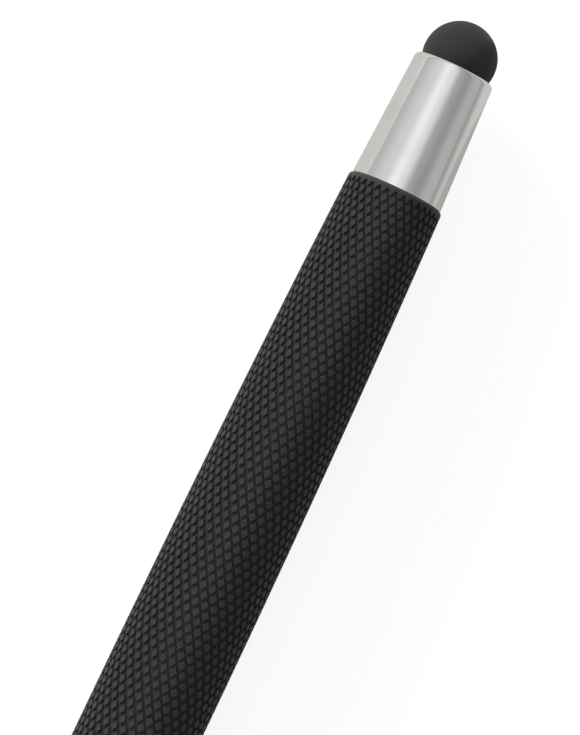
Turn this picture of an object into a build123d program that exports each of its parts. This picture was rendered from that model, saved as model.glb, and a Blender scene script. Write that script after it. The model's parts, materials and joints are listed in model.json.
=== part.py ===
from build123d import *
import os
from math import asin, degrees, hypot, radians, sqrt

# A twist-action ballpoint pen with a soft stylus dome on its upper end, in millimetres.
# Every piece is turned about an upright axis, from the nose mouth at height zero to the dome at the top.
# The finished pen is laid along X on the surface that it rests on, with the dome towards +X.
# Turning the upper barrel half a turn drives a pin down two helical slots and the point out of the nose.

# Fits and cuts
fit_gap = 0.03  # pressed, glued and screwed fits, on the radius
running_gap = 0.06  # turning and sliding fits, on the radius
end_play = 0.1  # between turning faces, along the pen
overrun = 1.0  # how far a cut runs past the wall that it opens

# Slim refill: brass tube, rear collar, point socket and writing ball
refill_radius = 1.6
refill_wall = 0.25
refill_clearance = 0.3  # to the bores that it slides through, on the radius
collar_plug_length = 4.0
collar_flange_height = 1.0
collar_stub_length = 4.4
point_step = 0.45  # from the refill tube down to the point's shank, on the radius
point_shank_length = 8.8
point_cone_length = 2.6
point_shoulder_height = 1.0
point_spigot_length = 3.0
point_lip = 0.1  # metal left round the ball
ink_wall = 0.6
ink_throat_radius = 0.3
ink_throat_length = 0.8
ball_radius = 0.5
ball_gap = 0.02
ball_proud = 0.38  # how far the ball stands out of its socket
point_recess = 1.2  # the ball behind the nose mouth when retracted

# Nose cone
nose_length = 18.0
nose_bulge = 0.55  # how far its outline swells from the straight line
nose_lip = 0.3
nose_round = 0.2
nose_land_length = 4.0  # the bore that guides the point
nose_land_gap = 0.1
nose_funnel_length = 3.0
nose_spigot_length = 7.0

# Twist mechanism
twist_angle = 180.0
point_travel = 5.0
pin_radius = 0.5
pin_clearance = 0.1  # in the slots, on each side
pin_end_clearance = 0.3  # in the slots, past the pin at each limit
pin_reach_share = 0.7  # of the cam sleeve's wall
plunger_web = 0.9  # between the pin and the refill's socket
plunger_tail = 1.5  # behind the pin
plunger_wall = 0.64
plunger_chamfer = 0.3
guide_wall = 0.7
guide_root_length = 10.0
guide_funnel = 0.6
guide_head_room = 1.1  # to the ferrule's spigot
clip_land = 0.5
clip_groove_depth = 0.3
clip_groove_width = 0.5
clip_thickness = 0.42
clip_width = 0.85
clip_mouth = 3.4
cam_wall = 0.9
cam_end = 2.4  # from the pin at each limit to the end of the sleeve
cam_chamfer = 0.25
bush_length = 8.0
bush_flange_height = 0.6
bush_relief = 0.25
washer_thickness = 0.5
washer_clearance = 0.3
friction_groove_depth = 0.35
friction_groove_width = 0.6

# Barrel: inner tubes, rubber grip sleeves and centre ring
tube_wall = 0.42
upper_grip_length = 59.5
lower_grip_length = 43.0
grip_straight_length = 8.5  # of each sleeve, beside the centre ring
grip_end_wall = 0.6  # rubber at the thin end of a sleeve
grip_swell = 0.78  # rubber gained along the arc towards the middle of the pen
grip_round = 0.25
ring_width = 2.4
ring_proud = 0.08
ring_round = 0.25
twist_gap = 0.2  # between the centre ring and the upper barrel

# Stylus end: ferrule, rubber dome and the plug that holds it
ferrule_length = 12.65
ferrule_step = 0.21  # from the sleeve's end down to the metal, on the radius
ferrule_spigot_length = 4.5
ferrule_spigot_wall = 1.1
ferrule_web = 2.5
mouth_rim = 0.52
mouth_round_share = 0.95  # of the rim
tip_radius = 3.5
tip_lift = 1.0  # the dome's centre above the ferrule mouth
tip_crown = 0.8
skirt_length = 3.2
skirt_wall = 0.7
skirt_lip_width = 0.45
skirt_lip_height = 0.8
plug_head_height = 2.2
plug_head_round = 0.6
plug_stem_radius = 1.5
plug_stem_end = 1.2
plug_stem_chamfer = 0.3

# Radii, from the refill outwards
guide_bore = refill_radius + refill_clearance
guide_radius = guide_bore + guide_wall
cam_bore = guide_radius + running_gap
cam_radius = cam_bore + cam_wall
tube_bore = cam_radius + fit_gap
tube_radius = tube_bore + tube_wall
grip_bore = tube_radius + fit_gap
grip_end_radius = grip_bore + grip_end_wall
grip_radius = grip_end_radius + grip_swell
ring_radius = grip_radius + ring_proud
spigot_radius = tube_bore - fit_gap
metal_radius = grip_end_radius - ferrule_step
point_radius = refill_radius - point_step
nose_bore = point_radius + nose_land_gap
plunger_radius = guide_bore - running_gap
stub_radius = plunger_radius - plunger_wall - fit_gap
seat_radius = sqrt(tip_radius**2 - tip_lift**2)
mouth_bore = seat_radius + fit_gap
mouth_radius = mouth_bore + mouth_rim
skirt_bore = seat_radius - skirt_wall
lip_bore = skirt_bore - skirt_lip_width

# Heights, from the nose mouth upwards
ring_low = nose_length + lower_grip_length
ring_high = ring_low + ring_width
upper_low = ring_high + twist_gap
upper_high = upper_low + upper_grip_length
mouth_height = upper_high + ferrule_length
skirt_low = mouth_height - skirt_length
tip_centre = mouth_height + tip_lift
pen_length = tip_centre + tip_radius
spigot_low = upper_high - ferrule_spigot_length
guide_high = spigot_low - guide_head_room
clip_groove_high = guide_high - clip_land
clip_groove_low = clip_groove_high - clip_groove_width
cam_high = clip_groove_low - end_play
pin_height = cam_high - cam_end
cam_low = pin_height - point_travel - cam_end
socket_high = pin_height - pin_radius - plunger_web
plunger_low = socket_high - collar_stub_length - fit_gap
refill_high = plunger_low - collar_flange_height
ball_centre = point_recess + ball_radius
point_rim = point_recess + ball_proud
cone_high = point_rim + point_cone_length
shank_high = cone_high + point_shank_length
refill_low = shank_high + point_shoulder_height
washer_high = ring_high + washer_thickness
bush_low = washer_high + end_play
bush_high = bush_low + bush_length
friction_height = (bush_low + bush_high) / 2


def turned(face):
    """A solid turned about the pen's axis from a closed outline of radius and height."""
    return revolve(Plane.XZ * face, Axis.Z)


def outline(*points):
    """A closed straight-sided outline of radius and height."""
    return make_face(Polyline(*points, close=True).edges())


def tube(bore, radius, low, high):
    return turned(outline((bore, low), (radius, low), (radius, high), (bore, high)))


def rod(radius, low, high):
    return tube(0, radius, low, high)


def corner(face, radius, height):
    """The outline's corner nearest to a radius and height."""
    return face.vertices().sort_by_distance((radius, height))[0]


# Upper barrel: stylus dome, its plug and ferrule, inner tube and grip sleeve
def make_stylus_tip():
    crown_centre = tip_centre + tip_radius - tip_crown - skirt_bore
    lip_high = skirt_low + skirt_lip_height
    start = -degrees(asin(tip_lift / tip_radius))
    dome = CenterArc((0, tip_centre), tip_radius, start, 90 - start)
    hollow = CenterArc((0, crown_centre), skirt_bore, 0, 90)
    skirt = Polyline(
        (skirt_bore, crown_centre),
        (skirt_bore, lip_high),
        (lip_bore, lip_high),
        (lip_bore, skirt_low),
        (seat_radius, skirt_low),
        (seat_radius, mouth_height),
    )
    crown = Line((0, crown_centre + skirt_bore), (0, pen_length))
    return turned(make_face([dome, hollow, crown, *skirt.edges()]))


def make_tip_plug():
    neck_radius = lip_bore - fit_gap
    head_radius = skirt_bore - fit_gap
    head_low = skirt_low + skirt_lip_height
    head_high = head_low + plug_head_height
    stem_low = skirt_low - ferrule_web - plug_stem_end
    face = outline(
        (0, stem_low),
        (plug_stem_radius, stem_low),
        (plug_stem_radius, skirt_low),
        (neck_radius, skirt_low),
        (neck_radius, head_low),
        (head_radius, head_low),
        (head_radius, head_high),
        (0, head_high),
    )
    face = fillet(corner(face, head_radius, head_high), plug_head_round)
    face = chamfer(corner(face, plug_stem_radius, stem_low), plug_stem_chamfer)
    return turned(face)


def make_stylus_ferrule():
    hollow_radius = spigot_radius - ferrule_spigot_wall
    stem_bore = plug_stem_radius + fit_gap
    web_low = skirt_low - ferrule_web
    face = outline(
        (hollow_radius, spigot_low),
        (spigot_radius, spigot_low),
        (spigot_radius, upper_high),
        (metal_radius, upper_high),
        (mouth_radius, mouth_height),
        (mouth_bore, mouth_height),
        (mouth_bore, skirt_low),
        (stem_bore, skirt_low),
        (stem_bore, web_low),
        (hollow_radius, web_low),
    )
    return turned(fillet(corner(face, mouth_radius, mouth_height), mouth_rim * mouth_round_share))


def make_grip_sleeve(length):
    """A rubber sleeve with its thick end at height zero: straight there, then narrowing on one long arc."""
    swell = TangentArc((grip_radius, grip_straight_length), (grip_end_radius, length), tangent=(0, 1))
    bore = Polyline(
        (grip_end_radius, length),
        (grip_bore, length),
        (grip_bore, 0),
        (grip_radius, 0),
        (grip_radius, grip_straight_length),
    )
    face = make_face([swell, *bore.edges()])
    face = fillet(corner(face, grip_end_radius, length), grip_round)
    face = fillet(corner(face, grip_radius, 0), grip_round)
    return turned(face)


# Twist mechanism: guide tube, bush, friction ring, washer, clip, cam sleeve, plunger and pin
def make_guide_tube():
    root_low = ring_low - guide_root_length
    body = turned(
        outline(
            (guide_bore + guide_funnel, root_low),
            (spigot_radius, root_low),
            (spigot_radius, ring_high),
            (guide_radius, ring_high),
            (guide_radius, guide_high),
            (guide_bore, guide_high),
            (guide_bore, root_low + guide_funnel),
        )
    )
    friction_low = friction_height - friction_groove_width / 2
    friction_floor = guide_radius - friction_groove_depth
    clip_floor = guide_radius - clip_groove_depth
    edge = guide_radius + overrun
    body -= tube(friction_floor, edge, friction_low, friction_low + friction_groove_width)
    body -= tube(clip_floor, edge, clip_groove_low, clip_groove_high)
    slot = SlotCenterToCenter(point_travel, 2 * (pin_radius + pin_clearance), rotation=90)
    middle = pin_height - point_travel / 2
    return body - extrude(Plane.XZ * Pos(0, middle) * slot, edge, both=True)


def make_bearing_bush():
    """A bush pressed into the upper tube, relieved outside between its two lands."""
    relief_low = bush_low + bush_flange_height
    relief_high = bush_high - bush_flange_height
    relief = tube(cam_radius - bush_relief, cam_radius + overrun, relief_low, relief_high)
    return tube(cam_bore, cam_radius, bush_low, bush_high) - relief


def make_friction_ring():
    wire_radius = (friction_groove_depth + running_gap - fit_gap) / 2
    floor = guide_radius - friction_groove_depth
    return Pos(0, 0, friction_height) * Torus(floor + wire_radius + fit_gap / 2, wire_radius)


def make_thrust_washer():
    return tube(cam_bore, tube_bore - washer_clearance, ring_high, washer_high)


def make_retaining_clip():
    floor = guide_radius - clip_groove_depth + fit_gap
    low = (clip_groove_low + clip_groove_high - clip_thickness) / 2
    hoop = tube(floor, floor + clip_width, low, low + clip_thickness)
    reach = floor + clip_width + overrun
    mouth = Pos(reach / 2, 0, low + clip_thickness / 2) * Box(reach, clip_mouth, clip_thickness + overrun)
    return hoop - mouth


def make_cam_sleeve():
    """A sleeve with two helical slots, one for each end of the pin."""
    low_end = (cam_radius, cam_low)
    high_end = (cam_radius, cam_high)
    face = outline((cam_bore, cam_low), low_end, high_end, (cam_bore, cam_high))
    body = turned(chamfer([corner(face, *low_end), corner(face, *high_end)], cam_chamfer))
    lead = point_travel * 360 / twist_angle
    middle = cam_bore + cam_wall / 2
    arc_per_degree = hypot(cam_bore * radians(1), lead / 360)
    margin = (pin_radius + pin_end_clearance) / arc_per_degree
    sweep_angle = twist_angle + 2 * margin
    path = Helix(lead, lead * sweep_angle / 360, middle)
    start = Plane(path @ 0, x_dir=(1, 0, 0), z_dir=path % 0)
    section = start * Rectangle(cam_wall + overrun, 2 * (pin_radius + pin_clearance))
    slot_low = pin_height - point_travel - lead * margin / 360
    slot = Pos(0, 0, slot_low) * sweep(section, path, is_frenet=True)
    for pin_side in (90, 270):
        body -= Rot(0, 0, pin_side - twist_angle - margin) * slot
    return body


def make_plunger():
    tail_high = pin_height + plunger_tail
    end = (plunger_radius, tail_high)
    face = outline((0, plunger_low), (plunger_radius, plunger_low), end, (0, tail_high))
    body = turned(chamfer(corner(face, *end), plunger_chamfer))
    body -= rod(stub_radius + fit_gap, plunger_low - overrun, socket_high)
    hole = Cylinder(pin_radius, 2 * (plunger_radius + overrun), rotation=(90, 0, 0))
    return body - Pos(0, 0, pin_height) * hole


def make_cross_pin():
    reach = cam_bore + cam_wall * pin_reach_share
    return Pos(0, 0, pin_height) * Cylinder(pin_radius, 2 * reach, rotation=(90, 0, 0))


# Refill: tube, rear collar, point socket and ball
def make_refill_tube():
    return tube(refill_radius - refill_wall, refill_radius, refill_low, refill_high)


def make_refill_collar():
    plug_radius = refill_radius - refill_wall - fit_gap
    plug_low = refill_high - collar_plug_length
    stub_high = plunger_low + collar_stub_length
    return turned(
        outline(
            (0, plug_low),
            (plug_radius, plug_low),
            (plug_radius, refill_high),
            (refill_radius, refill_high),
            (refill_radius, plunger_low),
            (stub_radius, plunger_low),
            (stub_radius, stub_high),
            (0, stub_high),
        )
    )


def make_point_socket():
    seat = ball_radius + ball_gap
    rim_bore = sqrt(seat**2 - (ball_radius - ball_proud) ** 2)
    spigot = refill_radius - refill_wall - fit_gap
    spigot_high = refill_low + point_spigot_length
    ink_low = ball_centre + seat + ink_throat_length
    body = turned(
        outline(
            (0, point_rim),
            (rim_bore + point_lip, point_rim),
            (point_radius, cone_high),
            (point_radius, shank_high),
            (refill_radius, shank_high),
            (refill_radius, refill_low),
            (spigot, refill_low),
            (spigot, spigot_high),
            (0, spigot_high),
        )
    )
    body -= Pos(0, 0, ball_centre) * Sphere(seat)
    body -= rod(ink_throat_radius, ball_centre, ink_low)
    return body - rod(point_radius - ink_wall, ink_low, spigot_high + overrun)


def make_writing_ball():
    return Pos(0, 0, ball_centre) * Sphere(ball_radius)


# Lower barrel: nose cone, inner tube, grip sleeve and centre ring
def make_nose_cone():
    lip_radius = nose_bore + nose_lip
    spigot_high = nose_length + nose_spigot_length
    flank = SagittaArc((lip_radius, 0), (metal_radius, nose_length), -nose_bulge)
    inside = Polyline(
        (metal_radius, nose_length),
        (spigot_radius, nose_length),
        (spigot_radius, spigot_high),
        (guide_bore, spigot_high),
        (guide_bore, nose_land_length + nose_funnel_length),
        (nose_bore, nose_land_length),
        (nose_bore, 0),
        (lip_radius, 0),
    )
    face = make_face([flank, *inside.edges()])
    return turned(fillet(corner(face, lip_radius, 0), nose_round))


def make_centre_ring():
    bore = spigot_radius + fit_gap
    low_edge = (ring_radius, ring_low)
    high_edge = (ring_radius, ring_high)
    face = outline((bore, ring_low), low_edge, high_edge, (bore, ring_high))
    return turned(fillet([corner(face, *low_edge), corner(face, *high_edge)], ring_round))


pieces = {
    "stylus_tip": make_stylus_tip(),
    "tip_plug": make_tip_plug(),
    "stylus_ferrule": make_stylus_ferrule(),
    "upper_tube": tube(tube_bore, tube_radius, upper_low, upper_high),
    "upper_grip_sleeve": Pos(0, 0, upper_low) * make_grip_sleeve(upper_grip_length),
    "cam_sleeve": make_cam_sleeve(),
    "bearing_bush": make_bearing_bush(),
    "guide_tube": make_guide_tube(),
    "thrust_washer": make_thrust_washer(),
    "friction_ring": make_friction_ring(),
    "retaining_clip": make_retaining_clip(),
    "plunger": make_plunger(),
    "cross_pin": make_cross_pin(),
    "refill_tube": make_refill_tube(),
    "refill_collar": make_refill_collar(),
    "point_socket": make_point_socket(),
    "writing_ball": make_writing_ball(),
    "centre_ring": make_centre_ring(),
    "lower_tube": tube(tube_bore, tube_radius, nose_length, ring_low),
    "lower_grip_sleeve": Pos(0, 0, ring_low) * Rot(180, 0, 0) * make_grip_sleeve(lower_grip_length),
    "nose_cone": make_nose_cone(),
}

# Lay the pen along X, centred, with its widest piece touching the surface below
lying = Pos(-pen_length / 2, 0, ring_radius) * Rot(0, 90, 0)
os.makedirs("parts", exist_ok=True)
for name, piece in pieces.items():
    export_step(lying * piece, f"parts/{name}.step")

ring_middle = (ring_low + ring_high) / 2
print("pen length", round(pen_length, 3), "widest diameter", round(2 * ring_radius, 3))
print("refill length", round(plunger_low + collar_stub_length - point_recess, 3))
print("ball centre at x", round(ball_centre - pen_length / 2, 4))
print("ring middle at x", round(ring_middle - pen_length / 2, 4))
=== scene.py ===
import json
from math import asin, atan2, cos, degrees, hypot, pi, radians, sin, sqrt

import bmesh
import bpy
from mathutils import Matrix, Vector


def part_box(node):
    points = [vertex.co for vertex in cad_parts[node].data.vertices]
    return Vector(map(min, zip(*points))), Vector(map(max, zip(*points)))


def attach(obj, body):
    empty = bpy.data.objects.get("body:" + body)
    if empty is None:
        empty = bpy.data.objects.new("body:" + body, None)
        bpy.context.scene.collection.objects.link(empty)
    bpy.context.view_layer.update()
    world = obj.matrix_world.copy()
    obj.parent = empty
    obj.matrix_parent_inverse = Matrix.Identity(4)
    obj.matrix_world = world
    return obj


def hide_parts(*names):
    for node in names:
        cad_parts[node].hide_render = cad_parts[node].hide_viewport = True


# A stylus pen lies along X on a pale floor with its rubber dome towards +X.
# The frame gives each piece's place, and every length here is in metres.
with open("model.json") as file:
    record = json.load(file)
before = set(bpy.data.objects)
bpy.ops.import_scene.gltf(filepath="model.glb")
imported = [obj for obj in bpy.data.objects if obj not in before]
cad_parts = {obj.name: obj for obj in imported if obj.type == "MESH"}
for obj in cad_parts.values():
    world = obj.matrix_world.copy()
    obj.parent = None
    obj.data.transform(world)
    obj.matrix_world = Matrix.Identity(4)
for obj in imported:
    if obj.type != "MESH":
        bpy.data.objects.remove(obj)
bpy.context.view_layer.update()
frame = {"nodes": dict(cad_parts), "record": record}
mm = 0.001

# Places along the pen, from the frame
upper_low, upper_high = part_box("upper_grip_sleeve")
lower_low, lower_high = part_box("lower_grip_sleeve")
ferrule_low, ferrule_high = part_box("stylus_ferrule")
dome_low, dome_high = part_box("stylus_tip")
ring_low, ring_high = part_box("centre_ring")
nose_low, nose_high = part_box("nose_cone")
axis_height = (upper_low.z + upper_high.z) / 2
grip_radius = (upper_high.z - upper_low.z) / 2
ring_radius = (ring_high.z - ring_low.z) / 2
dome_radius = (dome_high.z - dome_low.z) / 2
metal_radius = (ferrule_high.z - ferrule_low.z) / 2

# Grip sleeves: rubber with raised diamond pads
grip_end_radius = 4.64 * mm
grip_bore = 4.04 * mm
grip_edge = 0.25 * mm
grip_straight = 8.5 * mm  # of each sleeve, beside the ring
band_width = 0.4 * mm  # smooth rubber beside each end
diamonds_round = 36
diamond_length = 1.65 * mm
diamond_relief = 0.22 * mm
gap_half_width = 0.08 * mm  # of the flat gaps between the pads
pad_length_share = 0.8  # of the length that even gaps would leave
corner_cut = 0.1 * mm
wall_width = 0.045 * mm
pad_sides = 8  # once its four corners are cut
wrap_radius = 5.0 * mm  # where a diamond has its modelled width
end_round_angles = (67.5, 45, 22.5, 0)  # degrees, down the round of each end

# Ferrule, dome, ring and nose
ferrule_edge = 0.1 * mm
mouth_bore = 3.384 * mm
mouth_radius = 3.904 * mm
mouth_round = 0.494 * mm
spigot_radius = 3.56 * mm
spigot_bore = 2.46 * mm
plug_bore = 1.53 * mm
web_thickness = 2.5 * mm
skirt_radius = 3.354 * mm
skirt_bore = 2.654 * mm
crown_thickness = 0.8 * mm
ring_bore = 3.59 * mm
ring_edge = 0.25 * mm
nose_lip_radius = 1.55 * mm
nose_bore = 1.25 * mm
nose_edge = 0.2 * mm
nose_bulge = 0.55 * mm
nose_length = 18.0 * mm
nose_land = 4.0 * mm
nose_funnel = 3.0 * mm
refill_bore = 1.9 * mm

# Meshes
turned_sides = 144
edge_steps = 6
mouth_steps = 14
dome_steps = 40
hollow_steps = 16
weld_gap = 0.002 * mm  # points nearer than this are joined
fine_gap = 0.001 * mm  # the same between diamonds, and the slack of a cut
turned_crease = radians(30)  # sharper edges of metal and dome stay sharp
pad_crease = radians(40)


# Turned pieces
def arc(x, radius, size, start, end, steps=10):
    """Points of an outline on an arc about a place and radius, from one angle to another in degrees."""
    angles = [radians(start + (end - start) * i / steps) for i in range(steps + 1)]
    return [(x + size * cos(a), radius + size * sin(a)) for a in angles]


def bowed(start, end, bulge, steps=24):
    """Points of an outline between two points, swelling outwards on one arc."""
    run, rise = end[0] - start[0], end[1] - start[1]
    chord = hypot(run, rise)
    curve = (chord**2 / 4 + bulge**2) / (2 * bulge)
    points = []
    for i in range(steps + 1):
        along = i / steps
        bow = sqrt(curve**2 - (chord * (along - 0.5)) ** 2) - (curve - bulge)
        x = start[0] + run * along - rise / chord * bow
        radius = start[1] + rise * along + run / chord * bow
        points.append((x, radius))
    return points


def turned_piece(name, outline, closed=True):
    """A smooth piece spun about the pen's axis from an outline of places along it and radii."""
    bpy.ops.object.select_all(action="DESELECT")
    bpy.ops.mesh.primitive_plane_add(size=mm)
    piece = bpy.context.object
    piece.name = name
    bpy.ops.object.mode_set(mode="EDIT")
    bpy.ops.mesh.merge(type="CENTER")
    x, radius = outline[0]
    bpy.ops.transform.translate(value=(x, 0, axis_height + radius))
    for next_x, next_radius in outline[1:]:
        step = (next_x - x, 0, next_radius - radius)
        bpy.ops.mesh.extrude_region_move(TRANSFORM_OT_translate={"value": step})
        x, radius = next_x, next_radius
    if closed:
        join_ends(piece)
    bpy.ops.mesh.select_all(action="SELECT")
    bpy.ops.mesh.spin(steps=turned_sides, angle=2 * pi, center=(0, 0, axis_height), axis=(1, 0, 0))
    bpy.ops.mesh.select_all(action="SELECT")
    bpy.ops.mesh.remove_doubles(threshold=weld_gap)
    bpy.ops.mesh.normals_make_consistent(inside=False)
    bpy.ops.object.mode_set(mode="OBJECT")
    bpy.ops.object.shade_smooth_by_angle(angle=turned_crease)
    return piece


def join_ends(piece):
    """Closes an outline with an edge from its last point to its first."""
    outline = bmesh.from_edit_mesh(piece.data)
    ends = [v for v in outline.verts if len(v.link_edges) == 1]
    bpy.ops.mesh.select_all(action="DESELECT")
    for end in ends:
        end.select_set(True)
    bpy.ops.mesh.edge_face_add()


def make_ferrule():
    """The bright cone that holds the dome, with its mouth, its web and its spigot."""
    seam, mouth = upper_high.x, ferrule_high.x
    skirt_end = dome_low.x
    slope = degrees(atan2(metal_radius - mouth_radius, mouth - seam))
    edge = arc(seam + ferrule_edge, metal_radius - ferrule_edge, ferrule_edge, 180, 90, edge_steps)
    shoulder = arc(mouth - mouth_round, mouth_radius - mouth_round, mouth_round, 90 - slope, 0, mouth_steps)
    inside = [
        (mouth, mouth_bore),
        (skirt_end, mouth_bore),
        (skirt_end, plug_bore),
        (skirt_end - web_thickness, plug_bore),
        (skirt_end - web_thickness, spigot_bore),
        (ferrule_low.x, spigot_bore),
        (ferrule_low.x, spigot_radius),
        (seam, spigot_radius),
    ]
    return turned_piece("bright_ferrule", edge + shoulder + inside)


def make_dome():
    """The hollow dome with its skirt."""
    centre = dome_high.x - dome_radius
    hollow_centre = dome_high.x - crown_thickness - skirt_bore
    skirt_angle = 180 - degrees(asin(skirt_radius / dome_radius))
    outside = arc(centre, 0, dome_radius, 0, skirt_angle, dome_steps)
    skirt = [(dome_low.x, skirt_radius), (dome_low.x, skirt_bore)]
    inside = arc(hollow_centre, 0, skirt_bore, 90, 0, hollow_steps)
    return turned_piece("rubber_dome", outside + skirt + inside, closed=False)


def make_ring():
    """The bright ring between the two sleeves."""
    low, high = ring_low.x, ring_high.x
    outline = [(low, ring_bore)]
    outline += arc(low + ring_edge, ring_radius - ring_edge, ring_edge, 180, 90)
    outline += arc(high - ring_edge, ring_radius - ring_edge, ring_edge, 90, 0)
    outline += [(high, ring_bore)]
    return turned_piece("bright_ring", outline)


def make_nose():
    """The bright nose with its mouth, its funnel and the bore for the refill."""
    mouth, base = nose_low.x, nose_low.x + nose_length
    lip = arc(mouth + nose_edge, nose_lip_radius - nose_edge, nose_edge, 180, 90, edge_steps)
    flank = bowed((mouth + nose_edge, nose_lip_radius), (base, metal_radius), nose_bulge)
    inside = [
        (base, spigot_radius),
        (nose_high.x, spigot_radius),
        (nose_high.x, refill_bore),
        (mouth + nose_land + nose_funnel, refill_bore),
        (mouth + nose_land, nose_bore),
        (mouth, nose_bore),
    ]
    return turned_piece("bright_nose", lip + flank[1:] + inside)


# Grip sleeves
def sleeve_radius(place, length):
    """The sleeve's outside at a place from its thick end: straight at first, then one long arc."""
    swell = grip_radius - grip_end_radius
    run = length - grip_straight
    curve = (run**2 + swell**2) / (2 * swell)
    past = min(max(place - grip_straight, 0), run)
    return grip_radius - (curve - sqrt(curve**2 - past**2))


def model_diamond(width):
    """One raised pad with blunted corners in its diamond of flat gap, with its top at height zero."""
    bpy.ops.object.select_all(action="DESELECT")
    bpy.ops.mesh.primitive_circle_add(vertices=4, radius=1, fill_type="NGON")
    diamond = bpy.context.object
    diamond.scale = (diamond_length / 2, width / 2, 1)
    diamond.location.z = -diamond_relief
    bpy.ops.object.transform_apply(location=True, rotation=True, scale=True)
    bpy.ops.object.mode_set(mode="EDIT")
    bpy.ops.mesh.select_all(action="SELECT")
    bpy.ops.mesh.inset(thickness=gap_half_width, depth=0)
    bpy.ops.transform.resize(value=(pad_length_share, 1, 1))
    bpy.ops.mesh.bevel(offset=corner_cut, segments=1, affect="VERTICES")
    bpy.ops.mesh.select_face_by_sides(number=pad_sides, type="EQUAL", extend=False)
    bpy.ops.mesh.inset(thickness=wall_width, depth=diamond_relief)
    bpy.ops.object.mode_set(mode="OBJECT")
    return diamond


def repeat_diamonds(diamond, width, rows):
    """A flat sheet of staggered diamonds: one turn of the sleeve wide and some rows long."""
    bpy.ops.object.mode_set(mode="EDIT")
    bpy.ops.mesh.select_all(action="SELECT")
    bpy.ops.mesh.duplicate_move(TRANSFORM_OT_translate={"value": (diamond_length / 2, width / 2, 0)})
    bpy.ops.object.mode_set(mode="OBJECT")
    for count, step in ((rows, (diamond_length, 0, 0)), (diamonds_round, (0, width, 0))):
        array = diamond.modifiers.new("rows", "ARRAY")
        array.count = count
        array.use_relative_offset = False
        array.use_constant_offset = True
        array.constant_offset_displace = step
        array.use_merge_vertices = True
        array.merge_threshold = fine_gap
        bpy.ops.object.modifier_apply(modifier=array.name)


def wrap_sheet(sheet, rows, length):
    """Rolls the flat sheet onto the sleeve's outside, thick end at zero, and notes its relief."""
    relief = sheet.data.attributes.new("relief", "FLOAT", "POINT")
    middle = (rows - 0.5) * diamond_length / 2
    for vertex, height in zip(sheet.data.vertices, relief.data):
        x, turn, z = vertex.co
        x += length / 2 - middle
        height.value = 1 + z / diamond_relief
        radius = sleeve_radius(x, length) + z
        angle = turn / wrap_radius
        vertex.co = (x, radius * sin(angle), axis_height + radius * cos(angle))


def trim_sheet(sheet, length):
    """Closes the rolled sheet's seam and cuts it square at both smooth bands."""
    bpy.ops.object.mode_set(mode="EDIT")
    bpy.ops.mesh.select_all(action="SELECT")
    bpy.ops.mesh.remove_doubles(threshold=weld_gap)
    for place, outwards in ((band_width, -1), (length - band_width, 1)):
        bpy.ops.mesh.select_all(action="SELECT")
        bpy.ops.mesh.bisect(
            plane_co=(place, 0, 0), plane_no=(outwards, 0, 0), clear_outer=True, threshold=fine_gap
        )
    bpy.ops.object.mode_set(mode="OBJECT")


def end_steps(outwards, length):
    """Places and radii from the texture to the bore: the smooth band, the rounded end and the end face."""
    end = 0 if outwards < 0 else length
    crest = sleeve_radius(end, length)
    texture_end = end - outwards * band_width
    steps = [(texture_end, sleeve_radius(texture_end, length)), (end - outwards * grip_edge, crest)]
    for angle in end_round_angles:
        along = grip_edge * (1 - cos(radians(angle)))
        steps.append((end - outwards * along, crest - grip_edge * (1 - sin(radians(angle)))))
    return steps + [(end, grip_bore)]


def close_sleeve(sheet, length):
    """Draws the smooth bands and ends out of the texture's two rims, and joins them by the bore."""
    bpy.ops.object.mode_set(mode="EDIT")
    bores = []
    for outwards in (-1, 1):
        bpy.ops.mesh.select_all(action="DESELECT")
        mesh = bmesh.from_edit_mesh(sheet.data)
        place = band_width if outwards < 0 else length - band_width
        for edge in mesh.edges:
            if edge.is_boundary and all(abs(v.co.x - place) < weld_gap for v in edge.verts):
                edge.select_set(True)
        for x, radius in end_steps(outwards, length):
            bpy.ops.mesh.extrude_region_move(TRANSFORM_OT_translate={"value": (0, 0, 0)})
            place_ring(sheet, x, radius)
        mesh = bmesh.from_edit_mesh(sheet.data)
        bores += [v.index for v in mesh.verts if v.select]
    mesh = bmesh.from_edit_mesh(sheet.data)
    mesh.verts.ensure_lookup_table()
    for index in bores:
        mesh.verts[index].select_set(True)
    mesh.select_flush(True)
    bpy.ops.mesh.bridge_edge_loops()
    bpy.ops.mesh.select_all(action="SELECT")
    bpy.ops.mesh.remove_doubles(threshold=fine_gap)
    bpy.ops.mesh.normals_make_consistent(inside=False)
    bpy.ops.object.mode_set(mode="OBJECT")


def place_ring(sheet, x, radius):
    """Moves the selected ring of points to a place and a radius, and counts it as smooth top."""
    mesh = bmesh.from_edit_mesh(sheet.data)
    relief = mesh.verts.layers.float["relief"]
    for v in mesh.verts:
        if v.select:
            y, z = v.co.y, v.co.z - axis_height
            stretch = radius / hypot(y, z)
            v.co = (x, y * stretch, axis_height + z * stretch)
            v[relief] = 1
    bmesh.update_edit_mesh(sheet.data)


# A sleeve's layout, in shares of its square
layout_margin = 0.01
layout_length = 0.98
outside_height = 0.9
bore_start = 0.93
bore_height = 0.06
outside_turns = 1 + 0.5 / diamonds_round  # faces across the seam end past one turn
bore_turns = 1.1


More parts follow.
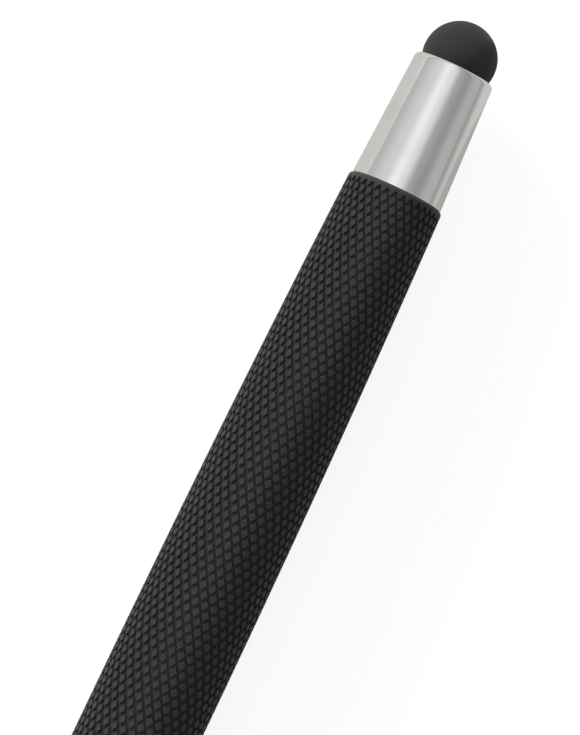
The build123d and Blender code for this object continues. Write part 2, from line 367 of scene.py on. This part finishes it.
def unwrap_sleeve(sleeve, length):
    """Lays the sleeve's outside and end faces out as one sheet, and its bore as a strip beside it."""
    mesh = sleeve.data
    layout = mesh.uv_layers.new(name="OFBake")
    thick_wall, thin_wall = grip_radius - grip_bore, grip_end_radius - grip_bore
    sheet_length = thick_wall + length + thin_wall
    for face in mesh.polygons:
        outwards = Vector((0, face.center.y, face.center.z - axis_height)).normalized()
        inside = face.normal.dot(outwards) < -0.5  # faces of the bore look towards the axis
        spots = []
        for loop in face.loop_indices:
            x, y, z = mesh.vertices[mesh.loops[loop].vertex_index].co
            along = thick_wall + x
            if not inside and x < grip_edge:
                along -= grip_radius - hypot(y, z - axis_height)
            elif not inside and x > length - grip_edge:
                along += grip_end_radius - hypot(y, z - axis_height)
            spots.append((loop, along / sheet_length, atan2(y, z - axis_height) / (2 * pi) + 0.5))
        turns = [turn for loop, along, turn in spots]
        for loop, along, turn in spots:
            if max(turns) - min(turns) > 0.5 and turn < 0.5:  # a face across the seam
                turn += 1
            across = layout_margin + outside_height * turn / outside_turns
            if inside:
                across = bore_start + bore_height * turn / bore_turns
            layout.data[loop].uv = (layout_margin + layout_length * along, across)


def make_sleeve(name, length):
    """A rubber sleeve of some length with its pads, its thick end at zero."""
    width = 2 * pi * wrap_radius / diamonds_round
    rows = int(length / diamond_length) + 2
    sleeve = model_diamond(width)
    sleeve.name = name
    repeat_diamonds(sleeve, width, rows)
    wrap_sheet(sleeve, rows, length)
    trim_sheet(sleeve, length)
    close_sleeve(sleeve, length)
    unwrap_sleeve(sleeve, length)
    bpy.ops.object.shade_smooth_by_angle(angle=pad_crease)
    return sleeve


def seat_sleeve(sleeve, thick_end, towards):
    """Puts a sleeve on its tube, with its thick end at a place and its thin end along +X or -X."""
    turn = Matrix.Rotation(0 if towards > 0 else pi, 4, "Z")
    sleeve.data.transform(Matrix.Translation((thick_end, 0, 0)) @ turn)


# Materials
cloud_scale = 320  # features to the metre, as are the other scales
cloud_range = (0.3, 0.7)
cloud_share = 0.7
speck_scale = 9000
speck_range = (0.35, 0.65)
speck_share = 0.3
turning_scale = 14000
smudge_scale = 420
smudge_range = (0.35, 0.7)
relief_strength = 0.5
# painted shade: a darker rubber colour for the gaps between the pads, where shade falls
gap_shade_colour = (0.0105, 0.0093, 0.0094)
gap_shade_height = 0.5  # of the pads' walls, up to which the painted shade of the gaps reaches


def feed(tree, socket, value):
    """Links a value to a node's input, or sets it there."""
    if isinstance(value, bpy.types.NodeSocket):
        tree.links.new(value, socket)
    else:
        socket.default_value = value


def node(tree, kind, **values):
    """A shader node with values set or linked on its named inputs."""
    made = tree.nodes.new("ShaderNode" + kind)
    for label, value in values.items():
        feed(tree, made.inputs[label.replace("_", " ")], value)
    return made


def reckon(tree, operation, *values):
    """The result of a sum on some values."""
    made = tree.nodes.new("ShaderNodeMath")
    made.operation = operation
    for socket, value in zip(made.inputs, values):
        feed(tree, socket, value)
    return made.outputs[0]


def noise(tree, place, scale, detail):
    """A soft noise from 0 to 1 with some features to the metre."""
    return node(tree, "TexNoise", Vector=place, Scale=scale, Detail=detail).outputs["Fac"]


def spread(tree, value, low, high, to_low=0.0, to_high=1.0):
    """A value stretched from one range to another and held inside it."""
    held = node(tree, "MapRange", Value=value, From_Min=low, From_Max=high, To_Min=to_low, To_Max=to_high)
    return held.outputs[0]


def blend(tree, share, first, second):
    """A colour part of the way from one colour to another."""
    mix = tree.nodes.new("ShaderNodeMix")
    mix.data_type = "RGBA"
    feed(tree, mix.inputs["Factor"], share)
    feed(tree, mix.inputs[6], first)
    feed(tree, mix.inputs[7], second)
    return mix.outputs[2]


def new_finish(name):
    """An empty shader group from two tones and two roughnesses to a colour, a roughness and a fine relief."""
    group = bpy.data.node_groups.new(name, "ShaderNodeTree")
    for label, kind in (("Deep", "Color"), ("Pale", "Color"), ("Smooth", "Float"), ("Rough", "Float")):
        group.interface.new_socket(label, in_out="INPUT", socket_type="NodeSocket" + kind)
    for label, kind in (("Colour", "Color"), ("Roughness", "Float"), ("Relief", "Float")):
        group.interface.new_socket(label, in_out="OUTPUT", socket_type="NodeSocket" + kind)
    return group, group.nodes.new("NodeGroupInput").outputs, group.nodes.new("NodeGroupOutput").inputs


def make_skin_group():
    """A moulded surface: two tones in soft clouds, a roughness that follows them, and a fine grain."""
    group, given, made = new_finish("moulded_skin")
    place = node(group, "TexCoord").outputs["Object"]
    clouds = spread(group, noise(group, place, cloud_scale, detail=4), *cloud_range)
    specks = noise(group, place, speck_scale, detail=2)
    speckle = spread(group, specks, *speck_range, 0, speck_share)
    tone = reckon(group, "MULTIPLY_ADD", clouds, cloud_share, speckle)
    group.links.new(blend(group, tone, given["Deep"], given["Pale"]), made["Colour"])
    sheen = node(group, "MapRange", Value=clouds, To_Min=given["Smooth"], To_Max=given["Rough"])
    group.links.new(sheen.outputs[0], made["Roughness"])
    group.links.new(specks, made["Relief"])
    return group


def make_turning_group():
    """A turned metal surface: fine lines round the pen, and a faint smudge that dulls it in places."""
    group, given, made = new_finish("turned_metal")
    place = node(group, "TexCoord").outputs["Object"]
    along = node(group, "SeparateXYZ", Vector=place).outputs["X"]
    lines = node(group, "TexNoise", Scale=turning_scale, Detail=3)
    lines.noise_dimensions = "1D"
    group.links.new(along, lines.inputs["W"])
    smudge = spread(group, noise(group, place, smudge_scale, detail=3), *smudge_range)
    group.links.new(blend(group, smudge, given["Pale"], given["Deep"]), made["Colour"])
    sheen = node(group, "MapRange", Value=smudge, To_Min=given["Smooth"], To_Max=given["Rough"])
    group.links.new(sheen.outputs[0], made["Roughness"])
    group.links.new(lines.outputs["Fac"], made["Relief"])
    return group


def surface(name, group, deep, pale, smooth, rough, depth, **constants):
    """A material from a shared group: two tones, a range of roughness and the depth of its fine relief."""
    material = bpy.data.materials.new(name)
    material.use_nodes = True
    tree = material.node_tree
    shader = tree.nodes["Principled BSDF"]
    skin = tree.nodes.new("ShaderNodeGroup")
    skin.node_tree = group
    skin.inputs["Deep"].default_value = (*deep, 1)
    skin.inputs["Pale"].default_value = (*pale, 1)
    skin.inputs["Smooth"].default_value = smooth
    skin.inputs["Rough"].default_value = rough
    tree.links.new(skin.outputs["Colour"], shader.inputs["Base Color"])
    tree.links.new(skin.outputs["Roughness"], shader.inputs["Roughness"])
    bump = node(tree, "Bump", Strength=relief_strength, Distance=depth, Height=skin.outputs["Relief"])
    tree.links.new(bump.outputs["Normal"], shader.inputs["Normal"])
    for socket, value in constants.items():
        shader.inputs[socket.replace("_", " ")].default_value = value
    return material


def paint_gap_shade(material):
    """Paints shade into a rubber's colour: darker in the gaps of its texture and some way up the pads' walls.
    """
    tree = material.node_tree
    shader = tree.nodes["Principled BSDF"]
    relief = tree.nodes.new("ShaderNodeAttribute")
    relief.attribute_name = "relief"
    top = spread(tree, relief.outputs["Fac"], 0, gap_shade_height)
    skin_colour = shader.inputs["Base Color"].links[0].from_socket
    # painted shade in the gaps and low on the pads' walls
    tree.links.new(blend(tree, top, (*gap_shade_colour, 1), skin_colour), shader.inputs["Base Color"])


skin_group = make_skin_group()
turning_group = make_turning_group()
materials = {
    "grip_rubber": surface(
        "grip_rubber", skin_group, (0.0203, 0.0178, 0.0179), (0.0275, 0.024, 0.0243), 0.5, 0.6, 0.01 * mm,
        Specular_IOR_Level=0.33, Sheen_Weight=0.08,
    ),
    "dome_rubber": surface(
        "dome_rubber", skin_group, (0.0162, 0.0149, 0.0139), (0.021, 0.0194, 0.0182), 0.85, 0.95, 0.004 * mm,
        Specular_IOR_Level=0.46, Sheen_Weight=0.06,
    ),
    "ferrule_metal": surface(
        "ferrule_metal", turning_group, (0.86, 0.852, 0.845), (0.91, 0.902, 0.895), 0.11, 0.16, 0.0001 * mm,
        Metallic=1,
    ),
    "bright_metal": surface(
        "bright_metal", turning_group, (0.85, 0.845, 0.84), (0.92, 0.915, 0.91), 0.08, 0.14, 0.0003 * mm,
        Metallic=1,
    ),
    "brass": surface(
        "brass", turning_group, (0.62, 0.44, 0.2), (0.75, 0.56, 0.27), 0.22, 0.36, 0.001 * mm, Metallic=1
    ),
    "acetal": surface("acetal", skin_group, (0.7, 0.69, 0.65), (0.8, 0.79, 0.75), 0.35, 0.5, 0.003 * mm),
    "nylon": surface("nylon", skin_group, (0.03, 0.03, 0.032), (0.05, 0.05, 0.053), 0.35, 0.5, 0.003 * mm),
    "seal_rubber": surface(
        "seal_rubber", skin_group, (0.02, 0.02, 0.02), (0.035, 0.035, 0.035), 0.4, 0.55, 0.003 * mm
    ),
    "steel": surface(
        "steel", turning_group, (0.5, 0.5, 0.5), (0.6, 0.6, 0.6), 0.2, 0.35, 0.001 * mm, Metallic=1
    ),
    "point_metal": surface(
        "point_metal", turning_group, (0.6, 0.56, 0.48), (0.72, 0.68, 0.6), 0.15, 0.28, 0.0008 * mm,
        Metallic=1,
    ),
    "ball_metal": surface(
        "ball_metal", turning_group, (0.45, 0.45, 0.47), (0.55, 0.55, 0.57), 0.06, 0.12, 0.0002 * mm,
        Metallic=1,
    ),
}
# painted shade in the grip's gaps
paint_gap_shade(materials["grip_rubber"])
slot_of = {p["node"]: p["material_slot"] for p in frame["record"]["subparts"]}


def dress(piece, body, *nodes):
    """Gives a finished piece its material and its body, and hides the frame nodes that it stands for."""
    slot = slot_of[nodes[0]]
    piece.data.materials.clear()
    piece.data.materials.append(materials[slot])
    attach(piece, body)
    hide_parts(*nodes)


for name, part in frame["nodes"].items():
    part.data.materials.clear()
    part.data.materials.append(materials[slot_of[name]])
upper_sleeve = make_sleeve("upper_grip", upper_high.x - upper_low.x)
lower_sleeve = make_sleeve("lower_grip", lower_high.x - lower_low.x)
seat_sleeve(upper_sleeve, upper_low.x, 1)
seat_sleeve(lower_sleeve, lower_high.x, -1)
dress(upper_sleeve, "upper_barrel", "upper_grip_sleeve")
dress(lower_sleeve, "lower_barrel", "lower_grip_sleeve")
dress(make_ferrule(), "upper_barrel", "stylus_ferrule")
dress(make_dome(), "upper_barrel", "stylus_tip")
dress(make_ring(), "lower_barrel", "centre_ring")
dress(make_nose(), "lower_barrel", "nose_cone")


# Floor, light and camera
white = (1, 1, 1, 1)
floor_size = 20.0
floor_glow = 0.88  # added where the camera sees the floor
floor_seen = (0.16, 0.16, 0.16, 1)
floor_bounce = (0.3, 0.295, 0.29, 1)
mirror_tint = (1, 0.97, 0.94, 1)
mirror_shade_fade = (-45 * mm, -20 * mm)  # across the floor, from the dim side of the pen to the bright one; a painted shade in what metal mirrors
mirror_glow = (0.04, 0.26)
key_place = Vector((0.66, 0.81, 0.35))
key_aim = Vector((0.03, 0, axis_height))
key_size = 0.26
key_radiance = 96.0
camera_foot = Vector((4.06 * mm, 1.86 * mm, axis_height))  # straight below the camera
camera_height = 474 * mm
camera_target = Vector((34.31 * mm, 1.86 * mm, axis_height))
camera_lens = 254.7
camera_sensor = 36.0
pen_lean = radians(25.5)  # from the picture's upright
sky_levels = (  # degrees left of overhead, brightness
    (-90, 0.45),
    (-70, 0.45),
    (-45, 0.31),
    (-25, 0.38),
    (0, 0.8),
    (16, 0.95),
    (40, 0.69),
    (90, 0.49),
)


def make_floor():
    """A pale floor that keeps a soft shadow, brightened where it is seen and where metal mirrors it; the
    mirrored glow has painted shade on the pen's dim side.
    """
    bpy.ops.object.select_all(action="DESELECT")
    bpy.ops.mesh.primitive_plane_add(size=floor_size)
    floor = bpy.context.object
    floor.name = "floor"
    material = bpy.data.materials.new("pale_floor")
    material.use_nodes = True
    tree = material.node_tree
    tree.nodes.clear()
    path = node(tree, "LightPath").outputs
    across = node(tree, "SeparateXYZ", Vector=node(tree, "NewGeometry").outputs["Position"]).outputs["Y"]
    # painted shade: metal mirrors the floor dimmer on the pen's dim side
    image = spread(tree, across, *mirror_shade_fade, *mirror_glow)
    mirrored = reckon(tree, "MULTIPLY", path["Is Glossy Ray"], image)
    strength = reckon(tree, "MULTIPLY_ADD", path["Is Camera Ray"], floor_glow, mirrored)
    tint = blend(tree, path["Is Camera Ray"], mirror_tint, white)
    glow = node(tree, "Emission", Color=tint, Strength=strength)
    shade = blend(tree, path["Is Camera Ray"], floor_bounce, floor_seen)
    paint = node(tree, "BsdfDiffuse", Color=shade)
    both = node(tree, "AddShader")
    tree.links.new(glow.outputs[0], both.inputs[0])
    tree.links.new(paint.outputs[0], both.inputs[1])
    node(tree, "OutputMaterial", Surface=both.outputs[0])
    floor.data.materials.append(material)


def hang_key():
    """A square lamp that faces the pen with an even brightness, and leaves no image in bright surfaces."""
    bpy.ops.object.light_add(type="AREA", location=key_place)
    lamp = bpy.context.object
    lamp.name = "key_box"
    lamp.data.shape = "SQUARE"
    lamp.data.size = key_size
    lamp.data.energy = key_radiance * pi * key_size**2
    away = (key_place - key_aim).normalized()
    across = away.cross(Vector((1, 0, 0))).normalized()
    along = across.cross(away)
    lamp.matrix_world = Matrix.Translation(key_place) @ Matrix((along, across, away)).transposed().to_4x4()
    lamp.visible_camera = False
    lamp.visible_glossy = False


def soft_sky(world):
    """A room that is brightest a little left of overhead, pale on the left and darker on the right."""
    tree = world.node_tree
    direction = node(tree, "SeparateXYZ", Vector=node(tree, "TexCoord").outputs["Generated"]).outputs
    turn = reckon(tree, "ARCTAN2", direction["Y"], direction["Z"])
    sky = node(tree, "ValToRGB", Fac=spread(tree, turn, -pi / 2, pi / 2))
    ramp = sky.color_ramp
    ramp.interpolation = "EASE"
    ramp.elements.remove(ramp.elements[1])
    for angle, level in sky_levels:
        share = (angle + 90) / 180
        stop = ramp.elements.new(share) if share else ramp.elements[0]
        stop.color = (level, level, level, 1)
    seen = node(tree, "LightPath").outputs["Is Camera Ray"]
    shown = blend(tree, seen, sky.outputs["Color"], white)
    tree.links.new(shown, tree.nodes["Background"].inputs["Color"])


def light_studio():
    """A soft room with one lamp."""
    world = bpy.data.worlds.new("studio")
    bpy.context.scene.world = world
    world.use_nodes = True
    soft_sky(world)
    hang_key()


def aim_camera():
    """The camera looks from above the pen's middle to its upper half, with the dome at the upper right."""
    place = camera_foot + Vector((0, 0, camera_height))
    forward = (camera_target - place).normalized()
    pen = Vector((1, 0, 0))
    pen = (pen - forward * pen.dot(forward)).normalized()
    side = forward.cross(pen)
    right = sin(pen_lean) * pen + cos(pen_lean) * side
    up = cos(pen_lean) * pen - sin(pen_lean) * side
    bpy.ops.object.camera_add()
    camera = bpy.context.object
    camera.matrix_world = Matrix.Translation(place) @ Matrix((right, up, -forward)).transposed().to_4x4()
    camera.data.lens = camera_lens
    camera.data.sensor_width = camera_sensor
    bpy.context.scene.camera = camera


make_floor()
light_studio()
aim_camera()
bpy.context.scene.view_settings.view_transform = "Standard"
